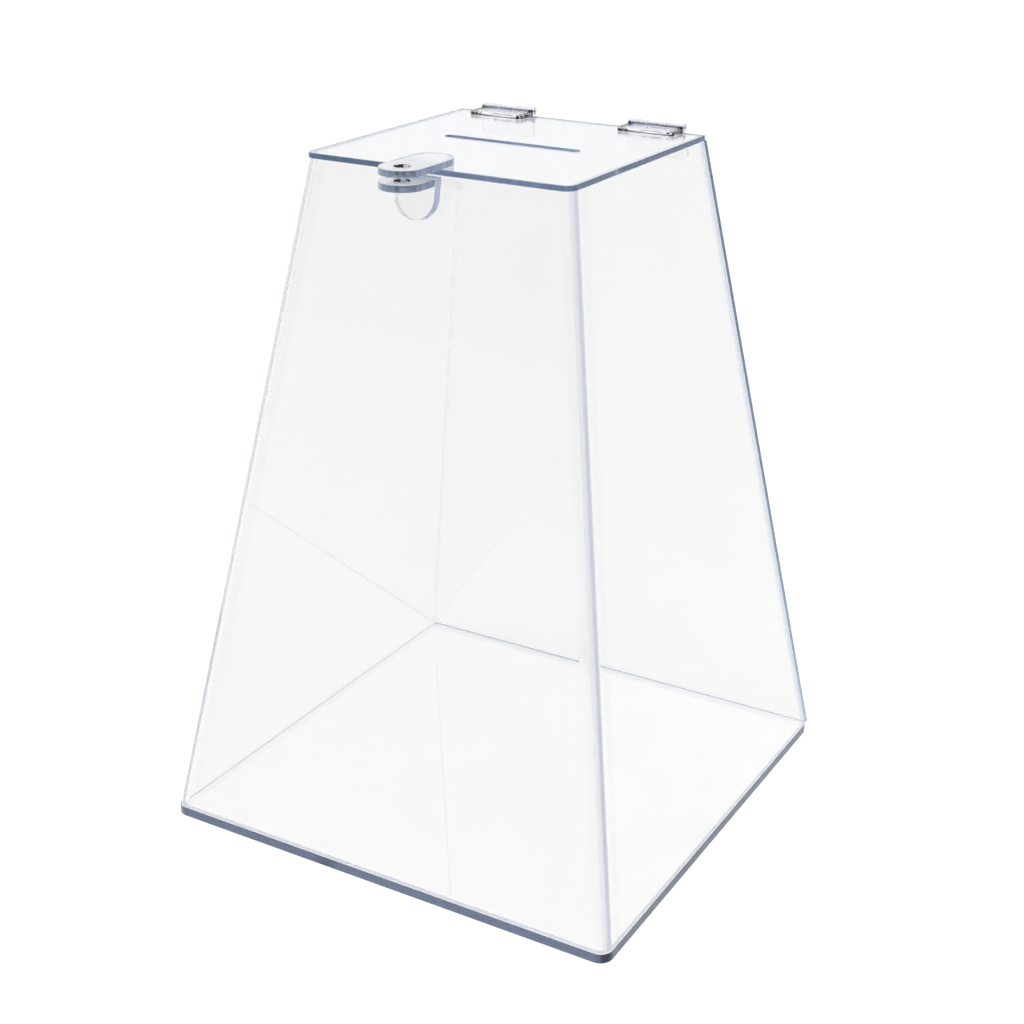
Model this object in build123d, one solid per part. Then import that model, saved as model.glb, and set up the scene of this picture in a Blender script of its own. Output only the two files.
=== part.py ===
from build123d import *
import math
import os

# Clear acrylic ballot box: a tapered body on a square base, with a hinged, slotted lid and a hasp.
# Millimetres. Origin at the middle of the base's underside, +Z up, hasp at the front (-Y).

# Overall sizes
base_side = 300.0
top_side = 165.0
lid_top_height = 405.0

# Sheet thicknesses
base_thick = 6.0
wall_thick = 4.0
lid_thick = 3.0
hasp_thick = 4.0

# Plates and bends
base_lip = 0.5
base_corner_radius = 8.0
lid_front_corner_radius = 6.0
lid_rear_corner_radius = 2.0
bend_inner_radius = 4.0
edge_break = 0.4
cut_over = 5.0

# Ballot slot, in the middle of the lid
slot_length = 86.0
slot_width = 6.0

# Hasp: an upper tab on the lid, over a shelf that is glued to a leg on the front wall
hasp_width = 25.0
hasp_offset = 6.5
hasp_tab_length = 52.0
lock_hole_radius = 4.5
lock_hole_reach = 18.5
hasp_leg_thick = 6.0
hasp_leg_drop = 23.5
hasp_lid_gap = 0.5

# Hinges: two plates and a pin each, outside the lid and the back panel
hinge_centre = 50.0
hinge_width = 36.0
hinge_reach = 18.0
hinge_plate = 2.0
hinge_barrel_radius = 2.25
hinge_corner_radius = 3.0
hinge_knuckle = 12.0
knuckle_gap = 0.3
pin_radius = 1.0
pin_clear = 0.05
lid_back_gap = 0.5

# Worked out from the sizes above
wall_top = lid_top_height - lid_thick
foot_half = base_side / 2 - base_lip
top_half = top_side / 2
lean = math.atan2(foot_half - top_half, wall_top - base_thick)
wall_across = wall_thick / math.cos(lean)
bend_outer_radius = bend_inner_radius + wall_thick
lock_hole_y = -(top_half + lock_hole_reach)
shelf_top = wall_top - hasp_lid_gap
front_out = (0, -math.cos(lean), math.sin(lean))


def half_at(height):
    """Half the width over the walls' outer faces at a height."""
    return top_half + (wall_top - height) * math.tan(lean)


hinge_axis_z = lid_top_height + hinge_barrel_radius
hinge_axis_y = half_at(hinge_axis_z) + hinge_barrel_radius / math.cos(lean)


def rounded_plate(width, depth, thick, front_radius, rear_radius):
    """A flat plate on z = 0 with rounded corners and softly broken edges."""
    outline = Rectangle(width, depth)
    outline = fillet(outline.vertices().sort_by(Axis.Y)[:2], front_radius)
    outline = fillet(outline.vertices().sort_by(Axis.Y)[-2:], rear_radius)
    plate = extrude(outline, thick)
    rims = plate.faces().filter_by(Axis.Z).edges()
    return chamfer(rims, edge_break)


def wall_section(half_width, back, radius, height):
    """A level section of the body, with its two front corners rounded."""
    depth = half_width + back
    face = Pos(0, back - depth / 2, height) * Rectangle(2 * half_width, depth)
    return fillet(face.vertices().sort_by(Axis.Y)[:2], radius)


def between(section, low, high):
    """A straight-sided solid from the section at one height to that at another."""
    return loft([section(low), section(high)], ruled=True)


def base_plate():
    radius = base_corner_radius
    return rounded_plate(base_side, base_side, base_thick, radius, radius)


def body_shell():
    """Left, front and right walls: one sheet, heat-bent at the two front corners."""
    def outside(height):
        half = half_at(height)
        return wall_section(half, half - wall_across, bend_outer_radius, height)

    def inside(height):
        half = half_at(height)
        return wall_section(half - wall_across, half + cut_over, bend_inner_radius, height)

    hollow = between(inside, base_thick - cut_over, wall_top + cut_over)
    return between(outside, base_thick, wall_top) - hollow


def back_panel():
    """The flat back, glued over the sheet's two ends, with its cut edges in view."""
    def section(height):
        half = half_at(height)
        return Pos(0, half - wall_across / 2, height) * Rectangle(2 * half, wall_across)

    return between(section, base_thick, wall_top)


def lid_panel():
    """The lid, cut back behind so that its rear edge clears the hinges' wall plates."""
    back = half_at(lid_top_height) - lid_back_gap
    depth = top_half + back
    plate = rounded_plate(top_side, depth, lid_thick, lid_front_corner_radius, lid_rear_corner_radius)
    slot = extrude(SlotOverall(slot_length, slot_width), lid_thick + 2 * cut_over)
    plate = Pos(0, back - depth / 2, wall_top) * plate
    return plate - Pos(0, 0, wall_top - cut_over) * slot


def lock_hole(low, high):
    """The round hole for a padlock's shackle, from one height to another."""
    length = high - low + 2 * cut_over
    return Pos(-hasp_offset, lock_hole_y, (low + high) / 2) * Cylinder(lock_hole_radius, length)


def hasp_tab():
    """The round-ended plate on the lid, which reaches out over the shelf."""
    outline = Rot(0, 0, 90) * SlotOverall(hasp_tab_length, hasp_width)
    plate = extrude(outline, hasp_thick)
    plate = chamfer(plate.faces().filter_by(Axis.Z).edges(), edge_break)
    middle = lock_hole_y + (hasp_tab_length - hasp_width) / 2
    plate = Pos(-hasp_offset, middle, lid_top_height) * plate
    return plate - lock_hole(lid_top_height, lid_top_height + hasp_thick)


def front_plane(height, out=0.0):
    """A plane parallel to the front wall's face, set out from it, with its y up the wall."""
    plane = Plane((-hasp_offset, -half_at(height), height), (1, 0, 0), front_out)
    return plane.offset(out)


def hasp_leg():
    """The plate glued on the front wall: round at the foot, cut level at the top."""
    up_wall = hasp_leg_drop / math.cos(lean)
    length = up_wall + hasp_width
    outline = Pos(0, length / 2) * (Rot(0, 0, 90) * SlotOverall(length, hasp_width))
    leg = front_plane(shelf_top - hasp_leg_drop) * extrude(outline, hasp_leg_thick)
    above = Pos(-hasp_offset, -top_half, shelf_top + length / 2) * Box(length, length, length)
    return leg - above


def hasp_shelf():
    """The lower tab: round-ended like the upper one, and butted on the leg's face."""
    length = hasp_tab_length
    outline = Rot(0, 0, 90) * SlotOverall(length, hasp_width)
    plate = extrude(outline, hasp_thick)
    middle = lock_hole_y + (length - hasp_width) / 2
    plate = Pos(-hasp_offset, middle, shelf_top - hasp_thick) * plate
    behind = front_plane(shelf_top, hasp_leg_thick) * Pos(0, 0, -length / 2) * Box(length, length, length)
    return plate - behind - lock_hole(shelf_top - hasp_thick, shelf_top)


def knuckle_spans(middle):
    """Where along the hinge the knuckles lie: the middle one, or the two outer ones."""
    if middle:
        return [(-hinge_knuckle / 2, hinge_knuckle / 2)]
    inner = hinge_knuckle / 2 + knuckle_gap
    return [(-hinge_width / 2, -inner), (inner, hinge_width / 2)]


def hinge_leaf(plane, spans, bore_radius):
    """One hinge plate with its knuckles; plane's x runs off the axis, y points outwards."""
    root = hinge_barrel_radius + knuckle_gap
    length = hinge_reach - root
    seat = -hinge_barrel_radius
    plate = Pos(root + length / 2, seat + hinge_plate / 2, 0) * Box(length, hinge_plate, hinge_width)
    far = plate.edges().filter_by(Axis.Y).sort_by(Axis.X)[-2:]
    leaf = fillet(far, hinge_corner_radius)
    for low, high in spans:
        along = Pos(0, 0, (low + high) / 2)
        web = Pos(root / 2, seat + hinge_plate / 2, 0) * Box(root, hinge_plate, high - low)
        leaf += along * Cylinder(hinge_barrel_radius, high - low)
        leaf += along * web
    leaf -= Cylinder(bore_radius, hinge_width + 2 * cut_over)
    return plane * leaf


def hinge_pieces(x):
    """The lid plate, the wall plate and the pin of one hinge."""
    axis = (x, hinge_axis_y, hinge_axis_z)
    lid_plane = Plane(axis, (0, -1, 0), (-1, 0, 0))
    wall_plane = Plane(axis, (0, math.sin(lean), -math.cos(lean)), (1, 0, 0))
    return {
        "lid_leaf": hinge_leaf(lid_plane, knuckle_spans(True), pin_radius + pin_clear),
        "wall_leaf": hinge_leaf(wall_plane, knuckle_spans(False), pin_radius),
        "pin": lid_plane * Cylinder(pin_radius, hinge_width),
    }


nodes = {
    "base_plate": base_plate(),
    "body_shell": body_shell(),
    "back_panel": back_panel(),
    "lid_panel": lid_panel(),
    "hasp_tab": hasp_tab(),
    "hasp_leg": hasp_leg(),
    "hasp_shelf": hasp_shelf(),
}
for side, x in (("left", -hinge_centre), ("right", hinge_centre)):
    for piece, solid in hinge_pieces(x).items():
        nodes[f"{side}_hinge_{piece}"] = solid

os.makedirs("parts", exist_ok=True)
for name, solid in nodes.items():
    export_step(solid, f"parts/{name}.step")
print(f"lean {math.degrees(lean):.3f} deg, hinge axis y {hinge_axis_y:.3f}, z {hinge_axis_z:.3f}")
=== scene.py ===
import math

import bmesh
import bpy
from mathutils import Matrix, Vector


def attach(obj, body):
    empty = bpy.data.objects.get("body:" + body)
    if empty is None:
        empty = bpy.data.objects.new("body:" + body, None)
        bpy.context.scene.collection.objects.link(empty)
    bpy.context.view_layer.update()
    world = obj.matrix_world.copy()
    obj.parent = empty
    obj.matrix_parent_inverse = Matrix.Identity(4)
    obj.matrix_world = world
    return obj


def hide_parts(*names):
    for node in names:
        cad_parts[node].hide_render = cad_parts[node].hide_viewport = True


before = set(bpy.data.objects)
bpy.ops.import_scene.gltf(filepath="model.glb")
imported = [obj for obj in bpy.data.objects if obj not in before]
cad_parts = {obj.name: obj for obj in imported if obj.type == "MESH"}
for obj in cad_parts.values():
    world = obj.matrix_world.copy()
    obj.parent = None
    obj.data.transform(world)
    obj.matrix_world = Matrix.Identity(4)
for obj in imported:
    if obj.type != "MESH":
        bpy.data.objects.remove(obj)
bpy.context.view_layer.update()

# Clear acrylic ballot box: bent walls on a square base, a slotted lid on two plate hinges, a hasp.
# Metres. Origin at the middle of the base's underside, +Z up, hasp at the front (-Y).

# Overall sizes
base_side = 0.300
top_side = 0.165
lid_top_height = 0.405

# Sheet thicknesses
base_thick = 0.006
wall_thick = 0.004
lid_thick = 0.003
hasp_thick = 0.004

# Plates and bends
base_lip = 0.0005
base_corner_radius = 0.008
lid_front_corner_radius = 0.006
lid_rear_corner_radius = 0.002
bend_inner_radius = 0.004
edge_break = 0.0004
cut_over = 0.005
joint_gap = 0.00005

# Ballot slot, in the middle of the lid
slot_length = 0.086
slot_width = 0.006

# Hasp: an upper tab on the lid, over a shelf that is glued to a leg on the front wall
hasp_width = 0.025
hasp_offset = 0.0065
hasp_tab_length = 0.052
lock_hole_radius = 0.0045
lock_hole_reach = 0.0185
hasp_leg_thick = 0.006
hasp_leg_drop = 0.0235
hasp_lid_gap = 0.0005

# Hinges
hinge_centre = 0.050
hinge_width = 0.036
hinge_reach = 0.018
hinge_plate = 0.002
hinge_barrel_radius = 0.00225
hinge_corner_radius = 0.003
hinge_knuckle = 0.012
knuckle_gap = 0.0003
pin_radius = 0.001
pin_clear = 0.00005
lid_back_gap = 0.0005

# Worked out from the sizes above
wall_top = lid_top_height - lid_thick
foot_half = base_side / 2 - base_lip
top_half = top_side / 2
lean = math.atan2(foot_half - top_half, wall_top - base_thick)
wall_across = wall_thick / math.cos(lean)
bend_outer_radius = bend_inner_radius + wall_thick
lock_hole_y = -(top_half + lock_hole_reach)
shelf_top = wall_top - hasp_lid_gap
hasp_left, hasp_right = -hasp_offset - hasp_width / 2, -hasp_offset + hasp_width / 2
hasp_front = lock_hole_y - hasp_width / 2


def half_at(height):
    """Half the width over the walls' outer faces at a height."""
    return top_half + (wall_top - height) * math.tan(lean)


hinge_axis_z = lid_top_height + hinge_barrel_radius
hinge_axis_y = half_at(hinge_axis_z) + hinge_barrel_radius / math.cos(lean)
lid_back = half_at(lid_top_height) - lid_back_gap

# How finely round forms are divided, and which corners count as sharp
corner_steps = 10
bend_steps = 16
break_steps = 3
round_sides = 64
pin_sides = 32
round_profile = 0.5
sharp_angle = math.radians(30)
merge_distance = 1e-6

# How well two directions agree, as the cosine between them: when they count as one, when a face
# looks squarely one way, and when it looks off to the side
aligned = 0.95
squarely = 0.9
sideways = 0.5


# Modelling: each piece starts from a block or rod and is shaped in edit mode

def clear_bench():
    """Leaves edit mode, with nothing selected."""
    if bpy.context.mode != "OBJECT":
        bpy.ops.object.mode_set(mode="OBJECT")
    bpy.ops.object.select_all(action="DESELECT")


def block(name, low, high):
    """A block between two corners, left in edit mode."""
    clear_bench()
    low, high = Vector(low), Vector(high)
    bpy.ops.mesh.primitive_cube_add(size=1, location=(low + high) / 2, scale=high - low)
    return settled(name)


def rod(name, radius, low, high, sides=round_sides):
    """An upright rod round the Z axis, left in edit mode."""
    clear_bench()
    bpy.ops.mesh.primitive_cylinder_add(vertices=sides, radius=radius, depth=high - low,
                                        location=(0, 0, (low + high) / 2))
    return settled(name)


def settled(name):
    """Names the new object, puts its place into its mesh and opens it in edit mode."""
    piece = bpy.context.object
    piece.name = piece.data.name = name
    bpy.ops.object.transform_apply(location=True, rotation=True, scale=True)
    bpy.ops.object.mode_set(mode="EDIT")
    return piece


def pick(kind, wanted):
    """Selects the vertices, edges or faces that a test holds for."""
    bpy.ops.mesh.select_mode(type=kind)
    bpy.ops.mesh.select_all(action="DESELECT")
    mesh = bpy.context.edit_object.data
    form = bmesh.from_edit_mesh(mesh)
    for part in {"VERT": form.verts, "EDGE": form.edges, "FACE": form.faces}[kind]:
        if wanted(part):
            part.select_set(True)
    form.select_flush_mode()
    bmesh.update_edit_mesh(mesh)


def middle(part):
    """The middle of an edge or a face."""
    return sum((v.co for v in part.verts), Vector()) / len(part.verts)


def facing(direction):
    """A test for faces that look a given way."""
    direction = Vector(direction).normalized()
    return lambda face: face.normal.dot(direction) > aligned


def running(direction, place=lambda at: True):
    """A test for edges that run a given way, at a place."""
    direction = Vector(direction).normalized()

    def wanted(edge):
        along = (edge.verts[1].co - edge.verts[0].co).normalized()
        return abs(along.dot(direction)) > aligned and place(middle(edge))

    return wanted


def round_off(radius, steps):
    """Rounds the selected edges."""
    bpy.ops.mesh.bevel(offset=radius, segments=steps, profile=round_profile, affect="EDGES",
                       clamp_overlap=True)
    bpy.ops.mesh.select_all(action="SELECT")
    bpy.ops.mesh.remove_doubles(threshold=merge_distance)


def break_edges(width=edge_break):
    """Takes the sharpness off all the piece's sharp edges."""
    bpy.ops.mesh.select_mode(type="EDGE")
    bpy.ops.mesh.select_all(action="DESELECT")
    bpy.ops.mesh.edges_select_sharp(sharpness=sharp_angle)
    bpy.ops.mesh.bevel(offset=width, segments=break_steps, profile=round_profile, affect="EDGES",
                       clamp_overlap=True)


def cut_level(height, keep_above):
    """Cuts the piece level at a height and closes the cut."""
    bpy.ops.mesh.select_all(action="SELECT")
    bpy.ops.mesh.bisect(plane_co=(0, 0, height), plane_no=(0, 0, 1), use_fill=True,
                        clear_inner=keep_above, clear_outer=not keep_above)


def combine(piece, tool, operation):
    """Joins or cuts a piece with a tool, which is used up."""
    clear_bench()
    bpy.context.view_layer.objects.active = piece
    change = piece.modifiers.new("tool", "BOOLEAN")
    change.operation, change.object, change.solver = operation, tool, "EXACT"
    bpy.ops.object.modifier_apply(modifier=change.name)
    bpy.data.objects.remove(tool)
    bpy.ops.object.mode_set(mode="EDIT")


def axes(x, y, origin):
    """The placement whose own X and Y run along two directions."""
    x, y = Vector(x), Vector(y)
    turn = Matrix((x, y, x.cross(y))).transposed().to_4x4()
    return Matrix.Translation(origin) @ turn


def move(piece, matrix):
    """Puts a piece at its place."""
    clear_bench()
    piece.select_set(True)
    bpy.context.view_layer.objects.active = piece
    piece.matrix_world = matrix
    bpy.ops.object.transform_apply(location=True, rotation=True, scale=True)


def base_plate():
    """The thick square plate that everything stands on."""
    half = base_side / 2
    piece = block("base", (-half, -half, 0), (half, half, base_thick))
    pick("EDGE", running((0, 0, 1)))
    round_off(base_corner_radius, corner_steps)
    break_edges()
    return piece


def body_shell():
    """The left, front and right walls: one sheet, bent at the two front corners."""
    low, high = base_thick - cut_over, wall_top + cut_over
    back = half_at(low)
    piece = block("walls", (-back, -back, low), (back, back, high))
    pick("FACE", facing((0, 0, 1)))
    narrower = half_at(high) / back
    bpy.ops.transform.resize(value=(narrower, narrower, 1), center_override=(0, 0, high))
    pick("FACE", lambda face: abs(face.normal.z) > aligned or face.normal.y > aligned)
    bpy.ops.mesh.delete(type="FACE")
    pick("EDGE", lambda edge: middle(edge).y < 0 and not edge.is_boundary)
    round_off(bend_outer_radius, bend_steps)
    bpy.ops.object.mode_set(mode="OBJECT")
    sheet = piece.modifiers.new("sheet", "SOLIDIFY")
    sheet.thickness, sheet.offset, sheet.use_even_offset = wall_thick, -1, True
    bpy.ops.object.modifier_apply(modifier=sheet.name)
    bpy.ops.object.mode_set(mode="EDIT")
    cut_level(base_thick + joint_gap, True)
    cut_level(wall_top - joint_gap, False)
    bpy.ops.mesh.select_all(action="SELECT")
    tilt = Vector((0, math.cos(lean), math.sin(lean)))
    inner_plane = Vector((0, half_at(wall_top) - wall_across, wall_top)) - tilt * joint_gap
    bpy.ops.mesh.bisect(plane_co=inner_plane, plane_no=tilt, use_fill=True, clear_outer=True)
    break_edges(edge_break / 2)
    return piece


def back_panel():
    """The flat back, behind the two ends of the bent sheet."""
    low, high = base_thick + joint_gap, wall_top - joint_gap
    half = half_at(low)
    piece = block("back", (-half, half - wall_across, low), (half, half, high))
    pick("FACE", facing((0, 0, 1)))
    bpy.ops.transform.resize(value=(half_at(high) / half, 1, 1), center_override=(0, 0, high))
    bpy.ops.transform.translate(value=(0, half_at(high) - half, 0))
    break_edges(edge_break / 2)
    return piece


def lid_panel():
    """The lid, rounder at its front corners, with the slot cut through it."""
    piece = block("lid", (-top_half, -top_half, wall_top), (top_half, lid_back, lid_top_height))
    pick("EDGE", running((0, 0, 1), lambda at: at.y < 0))
    round_off(lid_front_corner_radius, corner_steps)
    pick("EDGE", running((0, 0, 1), lambda at: at.y > lid_back - edge_break))
    round_off(lid_rear_corner_radius, corner_steps)
    end = slot_length / 2
    cutter = block("slot", (-end, -slot_width / 2, wall_top - cut_over),
                   (end, slot_width / 2, lid_top_height + cut_over))
    pick("EDGE", running((0, 0, 1)))
    round_off(slot_width / 2, corner_steps)
    combine(piece, cutter, "DIFFERENCE")
    break_edges()
    return piece


def lock_hole(low, high):
    """The tool for the padlock's hole, from one height to another."""
    tool = rod("hole", lock_hole_radius, low - cut_over, high + cut_over)
    move(tool, Matrix.Translation((-hasp_offset, lock_hole_y, 0)))
    return tool


def hasp_tab():
    """The round-ended plate on the lid, which reaches out over the shelf."""
    low, high = lid_top_height + joint_gap, lid_top_height + hasp_thick
    piece = block("tab", (hasp_left, hasp_front, low), (hasp_right, hasp_front + hasp_tab_length, high))
    pick("EDGE", running((0, 0, 1)))
    round_off(hasp_width / 2, 2 * bend_steps)
    combine(piece, lock_hole(low, high), "DIFFERENCE")
    break_edges()
    return piece


def front_place(height):
    """A placement on the front wall's face: X to the right, Y up the wall, Z outwards."""
    return axes((1, 0, 0), (0, math.sin(lean), math.cos(lean)), (-hasp_offset, -half_at(height), height))


def hasp_leg():
    """The plate on the front wall: round at the foot, cut level at the top."""
    length = hasp_leg_drop / math.cos(lean) + cut_over
    piece = block("leg", (-hasp_width / 2, 0, joint_gap), (hasp_width / 2, length, hasp_leg_thick))
    pick("EDGE", running((0, 0, 1), lambda at: at.y < hasp_width / 2))
    round_off(hasp_width / 2, 2 * bend_steps)
    move(piece, front_place(shelf_top - hasp_leg_drop))
    bpy.ops.object.mode_set(mode="EDIT")
    cut_level(shelf_top, False)
    break_edges()
    return piece


def hasp_shelf():
    """The lower tab: round-ended like the upper one, and butted on the leg's face."""
    low = shelf_top - hasp_thick
    piece = block("shelf", (hasp_left, hasp_front, low), (hasp_right, -top_half, shelf_top))
    pick("EDGE", running((0, 0, 1), lambda at: at.y < lock_hole_y))
    round_off(hasp_width / 2, 2 * bend_steps)
    leg_face = front_place(shelf_top) @ Vector((0, 0, hasp_leg_thick + joint_gap))
    bpy.ops.mesh.select_all(action="SELECT")
    bpy.ops.mesh.bisect(plane_co=leg_face, plane_no=(0, -math.cos(lean), math.sin(lean)),
                        use_fill=True, clear_inner=True)
    combine(piece, lock_hole(low, shelf_top), "DIFFERENCE")
    break_edges()
    return piece


def hinge_leaf(name, spans, bore_radius):
    """A hinge plate with its knuckles, the axis on Z and the plate running off along X."""
    root = hinge_barrel_radius + knuckle_gap
    seat = -hinge_barrel_radius + joint_gap
    half = hinge_width / 2
    piece = block(name, (root, seat, -half), (hinge_reach, seat + hinge_plate - joint_gap, half))
    pick("EDGE", running((0, 1, 0), lambda at: at.x > hinge_reach / 2))
    round_off(hinge_corner_radius, corner_steps)
    inner = spans[-1][0] if len(spans) > 1 else spans[0][1]
    for side in (-inner, inner):
        bpy.ops.mesh.select_all(action="SELECT")
        bpy.ops.mesh.bisect(plane_co=(0, 0, side), plane_no=(0, 0, 1))
    pick("FACE", lambda face: face.normal.x < -aligned
         and any(low < middle(face).z < high for low, high in spans))
    bpy.ops.mesh.extrude_region_move(TRANSFORM_OT_translate={"value": (-root, 0, 0)})
    for low, high in spans:
        combine(piece, rod("knuckle", hinge_barrel_radius, low, high), "UNION")
    combine(piece, rod("bore", bore_radius, -hinge_width, hinge_width), "DIFFERENCE")
    break_edges(edge_break / 2)
    return piece


def knuckle_spans(in_middle):
    """Where along the hinge the knuckles lie: the middle one, or the two outer ones."""
    if in_middle:
        return [(-hinge_knuckle / 2, hinge_knuckle / 2)]
    inner = hinge_knuckle / 2 + knuckle_gap
    return [(-hinge_width / 2, -inner), (inner, hinge_width / 2)]


def hinge(side, x):
    """The lid plate, the wall plate and the pin of one hinge."""
    axis = (x, hinge_axis_y, hinge_axis_z)
    on_lid = axes((0, -1, 0), (0, 0, 1), axis)
    on_wall = axes((0, math.sin(lean), -math.cos(lean)), (0, math.cos(lean), math.sin(lean)), axis)
    lid_leaf = hinge_leaf(f"{side}_lid_plate", knuckle_spans(True), pin_radius + pin_clear)
    move(lid_leaf, on_lid)
    wall_leaf = hinge_leaf(f"{side}_wall_plate", knuckle_spans(False), pin_radius + pin_clear / 2)
    move(wall_leaf, on_wall)
    pin = rod(f"{side}_pin", pin_radius - pin_clear / 2, -hinge_width / 2, hinge_width / 2, pin_sides)
    break_edges()
    move(pin, on_lid)
    return lid_leaf, wall_leaf, pin


# Finishes

class Wire:
    """A shader value that can be added, multiplied and compared like a number."""

    def __init__(self, tree, socket):
        self.tree, self.socket = tree, socket

    def math(self, operation, *others):
        """What a Math node makes of this value, or of it and others."""
        node = self.tree.nodes.new("ShaderNodeMath")
        node.operation = operation
        for place, value in zip(node.inputs, (self, *others)):
            join(self.tree, place, value)
        return Wire(self.tree, node.outputs[0])

    def __add__(self, other):
        return self.math("ADD", other)

    def __mul__(self, other):
        return self.math("MULTIPLY", other)

    def __sub__(self, other):
        return self.math("SUBTRACT", other)

    def __rsub__(self, other):
        return self * -1 + other

    def __abs__(self):
        return self.math("ABSOLUTE")

    def __gt__(self, other):
        return self.math("GREATER_THAN", other)

    def __lt__(self, other):
        return self.math("LESS_THAN", other)


def join(tree, place, value):
    """Sets a socket to a value, or links it to a wire."""
    if isinstance(value, Wire):
        tree.links.new(value.socket, place)
    else:
        place.default_value = value


class Finish:
    """The node tree of a material or of the world."""

    def __init__(self, owner):
        owner.use_nodes = True
        self.owner, self.tree = owner, owner.node_tree
        self.tree.nodes.clear()

    def add(self, kind, sockets, out=0, **settings):
        """A node with its settings, then its sockets; gives one of its outputs."""
        node = self.tree.nodes.new(kind)
        for name, value in settings.items():
            setattr(node, name, value)
        for name, value in sockets.items():
            join(self.tree, node.inputs[name], value)
        return Wire(self.tree, node.outputs[out] if node.outputs else None)

    def ramp(self, amount, stops):
        """Levels from 0 to 1 that follow an amount, by stops of a place and a level."""
        levels = self.add("ShaderNodeValToRGB", {"Fac": amount})
        ends = levels.socket.node.color_ramp.elements
        while len(ends) < len(stops):
            ends.new(0)
        for stop, (at, level) in zip(ends, stops):
            stop.position, stop.color = at, (level, level, level, 1)
        return levels

    def mark(self, name):
        """A mark that was put on some of the piece's faces."""
        return self.add("ShaderNodeAttribute", {}, "Fac", attribute_type="GEOMETRY", attribute_name=name)

    def noise(self, at, fineness, detail):
        """Random blotches, from 0 to 1, with their own fineness each way."""
        place = self.add("ShaderNodeMapping", {"Vector": at, "Scale": fineness})
        return self.add("ShaderNodeTexNoise", {"Vector": place, "Scale": 1.0, "Detail": detail}, "Fac")

    def blend(self, amount, first, second):
        """One colour turning into another."""
        first, second = (c if isinstance(c, Wire) else (*c, 1) for c in (first, second))
        return self.add("ShaderNodeMix", {0: amount, 6: first, 7: second}, 2, data_type="RGBA")


class Spot:
    """Where a point of the surface lies in the shared frame."""

    def __init__(self, finish):
        self.at = finish.add("ShaderNodeTexCoord", {}, "Object")
        self.x, self.y, self.z = (
            finish.add("ShaderNodeSeparateXYZ", {"Vector": self.at}, way) for way in "XYZ")


# Marks that a saw leaves along cut edges, on level sheets and on upright ones
flat_marks = (900.0, 900.0, 25.0)
upright_marks = (25.0, 25.0, 700.0)
saw_detail = 3.0
saw_stops = [(0.35, 0.0), (0.65, 1.0)]
saw_shade = 0.62

# Marks of wiping on the faces: broad patches of haze, and hairlines
wipe_fineness = (11.0, 11.0, 7.0)
wipe_detail = 5.0
wipe_stops = [(0.5, 0.0), (0.75, 1.0)]
wipe_shade = 0.985
wipe_rough = 0.012
hair_fineness = (30.0, 900.0, 60.0)
hair_detail = 2.0
hair_level = 0.72
hair_height = 0.2
relief_strength = 0.25
relief_depth = 0.0001

# Tints of the bent sheet: painted shade in a band beside each bend and in the bends, and a tint at the
# joint with the back
band_reach = 0.05
band_stops = [(0.2, 0.0), (0.27, 1.0), (0.34, 1.0), (0.42, 0.0)]
painted_band_shade = 0.965
painted_bend_shade = (0.77, 0.78, 0.81)
bend_rough = 0.35
joint_tint = (0.68, 0.72, 0.81)

# Painted reflection along the hasp's rim, on the far side of a slanting line
painted_rim_reflection = (0.55, 0.64, 0.80)
rim_width = 0.0022
far_side = -0.078

# Painted dark reflections: whole or in speckles, and how much of a hinge's ends they take
dark_glint = (0.01, 0.012, 0.018)
speckle_detail = 2.0
speckle_level = 0.5
end_width = 0.0036
end_setback = 0.002

# What all pieces share
acrylic_ior = 1.49
wall_face = (0.887, 0.885, 0.885)
cement = (0.81, 0.84, 0.93)


def shaded(colour, share):
    """A darker version of a colour."""
    return tuple(share * part for part in colour)


def sheet_shade_and_joint_tint(finish, spot, faces):
    """The bent sheet's faces, with shade painted in a band beside each bend and in the bends, and tinted
    along the joint with the back.
    """
    half = (wall_top - spot.z) * math.tan(lean) + top_half
    banded = finish.ramp((spot.y + half) * (1 / band_reach), band_stops)
    faces = finish.blend(banded, faces, shaded(wall_face, painted_band_shade))
    bend = finish.mark("bend")
    faces = finish.blend(bend * bend, faces, painted_bend_shade)
    joint = (half - spot.y < 2 * wall_across) * (spot.x > 0)
    return finish.blend(joint, faces, joint_tint)


def hasp_rim_reflection(finish, spot, faces):
    """The hasp's faces, with a reflection painted along the far part of the round-ended rim."""
    rear = lock_hole_y + hasp_tab_length - hasp_width
    straight = spot.y.math("MAXIMUM", lock_hole_y).math("MINIMUM", rear)
    across, along = spot.x + hasp_offset, spot.y - straight
    reach = (across * across + along * along).math("SQRT")
    rim = (reach > hasp_width / 2 - rim_width) * (spot.y - spot.x > far_side)
    return finish.blend(rim, faces, painted_rim_reflection)


def hinge_end_reflections(spot):
    """The two ends of a hinge's plate on the lid, where dark speckles of reflection are painted."""
    out = abs(abs(spot.x) - hinge_centre)
    before_barrel = spot.y < hinge_axis_y - end_setback
    return (out > hinge_width / 2 - end_width) * (spot.z > lid_top_height) * before_barrel


def dark_reflection_parts(finish, spot, speckle, dark_end_reflections):
    """The faces marked for a painted dark reflection and, where asked for, a hinge's ends, whole or in
    speckles.
    """
    dark = finish.mark("glint")
    if dark_end_reflections:
        dark = dark + hinge_end_reflections(spot) * (1 - dark)
    if speckle:
        dark = dark * (finish.noise(spot.at, (speckle,) * 3, speckle_detail) > speckle_level)
    return dark


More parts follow.
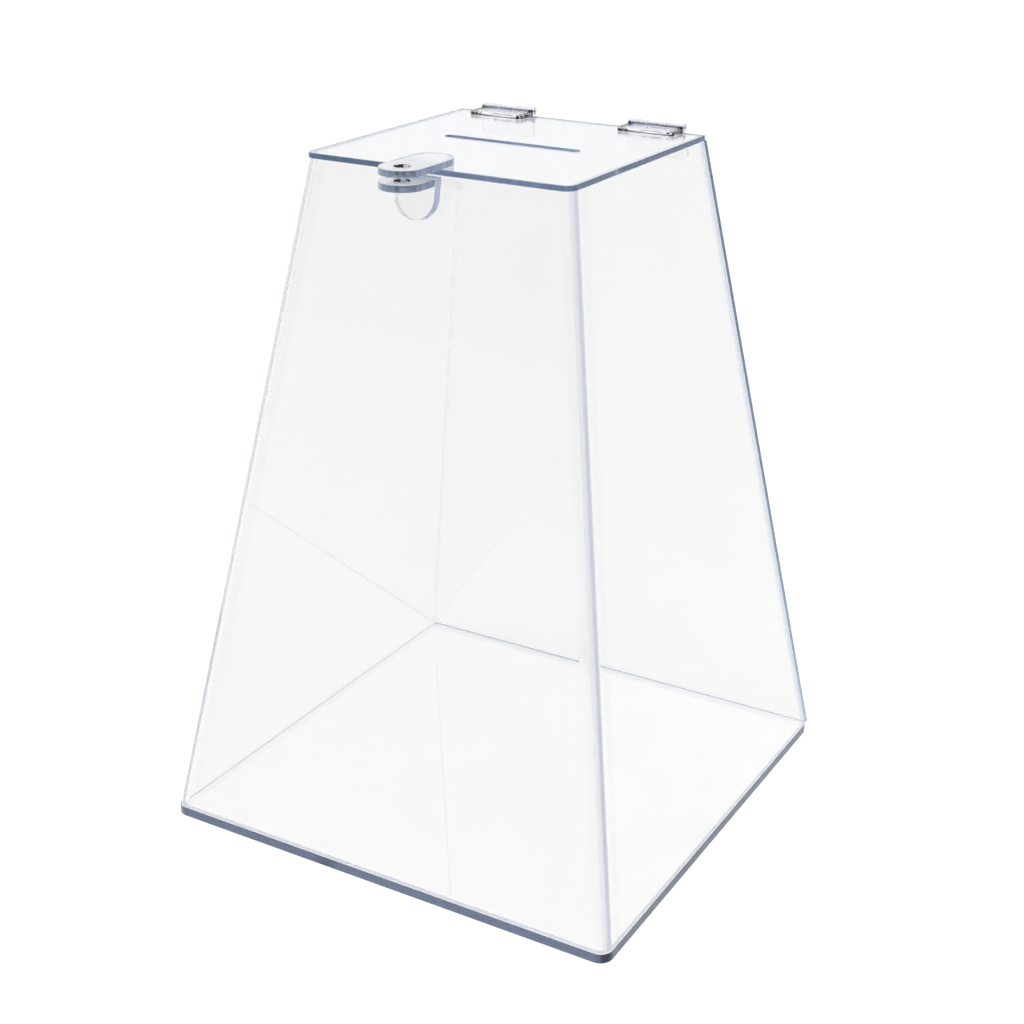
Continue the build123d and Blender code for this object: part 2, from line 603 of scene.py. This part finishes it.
def acrylic(name, face, edge, absorbed, density, saw_marks=flat_marks, streak=saw_shade, edge_rough=0.2,
            lining=cement, lining_rough=0.5, clear=1.0, tints=None, speckle=None, dark_end_reflections=False,
            mirrored=False):
    """Clear acrylic. face and edge tint what is seen through the faces and the cut edges, lining what
    is seen at cement, holes and barrels; absorbed and density tint what is seen along the sheet."""
    finish = Finish(bpy.data.materials.new(name))
    spot = Spot(finish)
    cut, lined, bend = (finish.mark(mark) for mark in ("cut_edge", "lined", "bend"))

    marks = finish.noise(spot.at, saw_marks, saw_detail)
    edges = finish.blend(finish.ramp(marks, saw_stops), edge, shaded(edge, streak))
    wiped = finish.ramp(finish.noise(spot.at, wipe_fineness, wipe_detail), wipe_stops)
    faces = finish.blend(wiped, face, shaded(face, wipe_shade))
    # Painted shade in and beside the sheet's bends, or a painted reflection along the hasp's rim
    if tints:
        faces = tints(finish, spot, faces)
    colour = finish.blend(lined, finish.blend(cut, faces, edges), lining)
    # Painted dark reflections at marked faces and hinge ends; where mirrored they are also metallic, so
    # they stay dark from inside
    dark = dark_reflection_parts(finish, spot, speckle, dark_end_reflections)
    colour = finish.blend(dark, colour, dark_glint)

    hairs = (finish.noise(spot.at, hair_fineness, hair_detail) > hair_level) * (1 - cut)
    rough = cut * edge_rough + lined * lining_rough + bend * bend_rough + wiped * wipe_rough
    relief = finish.add("ShaderNodeBump", {
        "Height": marks * cut + hairs * hair_height, "Strength": relief_strength,
        "Distance": relief_depth})
    surface = finish.add("ShaderNodeBsdfPrincipled", {
        "Base Color": colour, "Roughness": rough, "Metallic": dark if mirrored else 0.0,
        "IOR": acrylic_ior, "Transmission Weight": clear, "Normal": relief})
    volume = finish.add("ShaderNodeVolumeAbsorption", {"Color": (*absorbed, 1), "Density": density})
    finish.add("ShaderNodeOutputMaterial", {"Surface": surface, "Volume": volume})
    return finish.owner


# The wall sheet has painted shade in and beside its bends
walls_clear = acrylic("clear_wall_sheet", wall_face, (0.90, 0.93, 0.96), (0.20, 0.25, 0.42), 0.75,
                      tints=sheet_shade_and_joint_tint)
back_clear = acrylic("clear_back_sheet", wall_face, (0.86, 0.93, 1.0), (0.15, 0.36, 0.60), 5.0,
                     saw_marks=upright_marks, streak=0.8)
lid_clear = acrylic("clear_lid_sheet", (0.945, 0.95, 0.96), (0.42, 0.53, 0.65), (0.12, 0.30, 0.48), 9.0,
                    lining=(0.36, 0.38, 0.60), lining_rough=0.2)
base_clear = acrylic("clear_base_plate", (0.98, 0.975, 0.97), (0.90, 0.94, 0.99), (0.10, 0.20, 0.40), 5.5)
# The hasp has a painted reflection along its rim and painted dark reflections speckled in its hole
hasp_clear = acrylic("clear_hasp", (0.97, 0.97, 0.975), (0.37, 0.47, 0.68), (0.10, 0.25, 0.40), 12.0,
                     lining=(0.98, 0.98, 0.99), lining_rough=0.7, clear=0.6, tints=hasp_rim_reflection,
                     speckle=420.0)
leg_clear = acrylic("clear_hasp_leg", (0.97, 0.97, 0.97), (0.52, 0.56, 0.73), (0.30, 0.30, 0.50), 6.0)
# The hinges have painted dark reflections speckled on their ends, and the pins on theirs
hinge_clear = acrylic("clear_hinge", (0.95, 0.95, 0.965), (0.96, 0.96, 0.975), (0.30, 0.33, 0.40), 3.0,
                      streak=0.92, edge_rough=0.1, lining=(0.82, 0.82, 0.87), lining_rough=0.12,
                      speckle=700.0, dark_end_reflections=True, mirrored=True)
rod_clear = acrylic("clear_pin", (0.80, 0.80, 0.83), (0.25, 0.25, 0.30), (0.30, 0.35, 0.40), 8.0,
                    mirrored=True)

# What counts as a corner, with its painted dark reflection, a bend, with its painted shade, or a joint when
# faces are marked, and how weak the weaker marks are
corner_tilt = 0.3
corner_angle = 45
corner_span = 24
bend_from, bend_to = 0.1, 0.99
bend_side = 0.7
weak_bend = 0.4
joint_aligned = 0.99
weak_joint = 0.3
flats_weight = 100


def mark_faces(piece, name, wanted):
    """Marks faces from 0 to 1 by how far a test holds for each, for the finish to read."""
    mesh = piece.data
    marks = mesh.attributes.new(name, "FLOAT", "FACE")
    for face, mark in zip(mesh.polygons, marks.data):
        mark.value = float(wanted(face))


def complete(piece, body, slot, node, material, sheet_normals, **marked):
    """Completes a piece: smooth rounded faces, marks, its material, its CAD body and node; slot is not
    used.
    """
    clear_bench()
    piece.select_set(True)
    bpy.context.view_layer.objects.active = piece
    bpy.ops.object.shade_smooth_by_angle(angle=sharp_angle)
    flats = piece.modifiers.new("flats", "WEIGHTED_NORMAL")
    flats.keep_sharp, flats.weight = True, flats_weight
    bpy.ops.object.modifier_apply(modifier=flats.name)
    mark_faces(piece, "cut_edge", lambda face: all(
        abs(face.normal.dot(Vector(normal))) < sideways for normal in sheet_normals))
    for name, wanted in marked.items():
        mark_faces(piece, name, wanted)
    piece.data.materials.clear()
    piece.data.materials.append(material)
    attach(piece, body)
    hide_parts(node)


up = (0, 0, 1)
back_normal = (0, math.cos(lean), math.sin(lean))
front_and_side_normals = [(0, -math.cos(lean), math.sin(lean)), (-math.cos(lean), 0, math.sin(lean)),
                          (math.cos(lean), 0, math.sin(lean))]


def at_corner_reflection(face):
    """How near a face is to the middle of a rounded corner, where a dark reflection is painted on the edge.
    """
    turned = math.degrees(math.atan2(abs(face.normal.x), abs(face.normal.y)))
    nearness = 1 - ((turned - corner_angle) / corner_span) ** 2
    return abs(face.normal.z) < corner_tilt and max(0, nearness)


def at_bend(face):
    """The two round corners where the sheet turns, where shade is painted, more so in the half next to the
    side wall.
    """
    turned = abs(face.normal.x) / math.cos(lean)
    strength = 1 if turned > bend_side else weak_bend
    return face.center.y < 0 and bend_from < turned < bend_to and strength


def at_underside(face):
    """The level faces underneath."""
    return face.normal.z < -squarely


def at_joint(face):
    """The sheet's cemented faces: on the base and, more so on the right, against the back panel."""
    end = face.normal.dot(Vector(back_normal)) > joint_aligned
    return 1 if at_underside(face) or end and face.center.x > 0 else weak_joint * end


def at_slot(face):
    """The walls of the ballot slot."""
    inside = abs(face.center.x) < slot_length / 2 + edge_break and abs(face.center.y) < slot_width
    return inside and abs(face.normal.z) < squarely


def at_hole(face):
    """The wall of the padlock's hole."""
    across = face.center - Vector((-hasp_offset, lock_hole_y, face.center.z))
    return abs(face.normal.z) < squarely and across.length < lock_hole_radius + edge_break


def at_barrel(face):
    """The knuckles that stand round the hinge pin."""
    off = Vector((0, face.center.y - hinge_axis_y, face.center.z - hinge_axis_z))
    return abs(face.normal.x) < sideways and off.length < hinge_barrel_radius + joint_gap


def at_pale(face):
    """The parts of a hasp plate that look pale: its underside and its hole."""
    return at_underside(face) or at_hole(face)


def at_side(face):
    """The ends of a hinge, left and right, where a dark reflection is painted."""
    out = abs(abs(face.center.x) - hinge_centre)
    return abs(face.normal.x) > squarely and out > hinge_width / 2 - edge_break


# The base's rounded corners get a painted dark reflection
complete(base_plate(), "box", "base", "base_plate", base_clear, [up], glint=at_corner_reflection)
complete(body_shell(), "box", "walls", "body_shell", walls_clear, front_and_side_normals,
         bend=at_bend, lined=at_joint)
complete(back_panel(), "box", "walls", "back_panel", back_clear, [back_normal], lined=at_underside)
complete(lid_panel(), "lid", "lid", "lid_panel", lid_clear, [up], lined=at_slot)
# The hasp's holes get painted dark reflections, in speckles
complete(hasp_tab(), "lid", "hasp", "hasp_tab", hasp_clear, [up], glint=at_hole, lined=at_pale)
complete(hasp_leg(), "box", "hasp", "hasp_leg", leg_clear, front_and_side_normals[:1])
complete(hasp_shelf(), "box", "hasp", "hasp_shelf", hasp_clear, [up], glint=at_hole, lined=at_pale)
for side, x in (("left", -hinge_centre), ("right", hinge_centre)):
    lid_leaf, wall_leaf, pin = hinge(side, x)
    # The lid plates' ends and the pins' ends get painted dark reflections
    complete(lid_leaf, "lid", "hinge", f"{side}_hinge_lid_leaf", hinge_clear, [up],
             glint=at_side, lined=at_barrel)
    complete(wall_leaf, "box", "hinge", f"{side}_hinge_wall_leaf", hinge_clear, [back_normal],
             lined=at_barrel)
    complete(pin, "box", "hinge_pin", f"{side}_hinge_pin", rod_clear, [up], glint=at_side)


# Studio: a white floor and surround, soft light, and the camera
white = (1, 1, 1, 1)
floor_size = 40
floor_drop = 0.0002
floor_colour = (0.25, 0.25, 0.25, 1)
floor_glow = 0.9
surround_glow = 0.9
surround_extra = 0.1
lamp_size = 1.6
lamp_power = 16
lamp_place = (-0.9, -0.9, 2.0)
lamp_target = (0, 0, 0.2)
film_width = 36
lens_length = 60.949
near_limit, far_limit = 0.05, 100
eye_place = (0.4863, -0.8445, 0.5917)
eye_right, eye_up, eye_back = (0.8659, 0.5001, 0.0087), (-0.2012, 0.3324, 0.9214), (0.4579, -0.7996, 0.3884)
bounce_limit = 400


def seen(finish):
    """1 for rays from the camera, or by way of a reflection or the clear sheet."""
    direct, mirrored, through = (finish.add("ShaderNodeLightPath", {}, name) for name in (
        "Is Camera Ray", "Is Glossy Ray", "Is Transmission Ray"))
    return direct.math("MAXIMUM", mirrored).math("MAXIMUM", through)


def studio_floor():
    """The white floor, which glows where it is seen so that it stays white."""
    clear_bench()
    bpy.ops.mesh.primitive_plane_add(size=floor_size, location=(0, 0, -floor_drop))
    floor = bpy.context.object
    floor.name = "floor"
    bpy.ops.object.transform_apply(location=True)
    finish = Finish(bpy.data.materials.new("white_floor"))
    lit = finish.add("ShaderNodeBsdfDiffuse", {"Color": floor_colour})
    glow = finish.add("ShaderNodeEmission", {"Color": white, "Strength": seen(finish) * floor_glow})
    both = finish.add("ShaderNodeAddShader", {0: lit, 1: glow})
    finish.add("ShaderNodeOutputMaterial", {"Surface": both})
    floor.data.materials.append(finish.owner)


def studio_light():
    """The white surround and one soft lamp above the front left."""
    world = bpy.data.worlds.new("studio")
    bpy.context.scene.world = world
    finish = Finish(world)
    strength = seen(finish) * surround_extra + surround_glow
    light = finish.add("ShaderNodeBackground", {"Color": white, "Strength": strength})
    finish.add("ShaderNodeOutputWorld", {"Surface": light})
    lamp = bpy.data.lights.new("softbox", "AREA")
    lamp.shape, lamp.size, lamp.energy = "DISK", lamp_size, lamp_power
    soft = bpy.data.objects.new("softbox", lamp)
    bpy.context.collection.objects.link(soft)
    soft.location = lamp_place
    soft.rotation_euler = (Vector(lamp_target) - soft.location).to_track_quat("-Z", "Y").to_euler()


def camera():
    """The camera, placed by its own directions to the right, up and back."""
    lens = bpy.data.cameras.new("camera")
    lens.sensor_width, lens.lens = film_width, lens_length
    lens.clip_start, lens.clip_end = near_limit, far_limit
    eye = bpy.data.objects.new("camera", lens)
    bpy.context.collection.objects.link(eye)
    turn = Matrix((eye_right, eye_up, eye_back)).transposed().to_4x4()
    eye.matrix_world = Matrix.Translation(eye_place) @ turn
    bpy.context.scene.camera = eye


studio_floor()
studio_light()
camera()

bpy.context.scene.view_settings.view_transform = "Standard"
light_paths = bpy.context.scene.cycles
light_paths.max_bounces = light_paths.glossy_bounces = light_paths.transmission_bounces = bounce_limit
light_paths.blur_glossy = 0
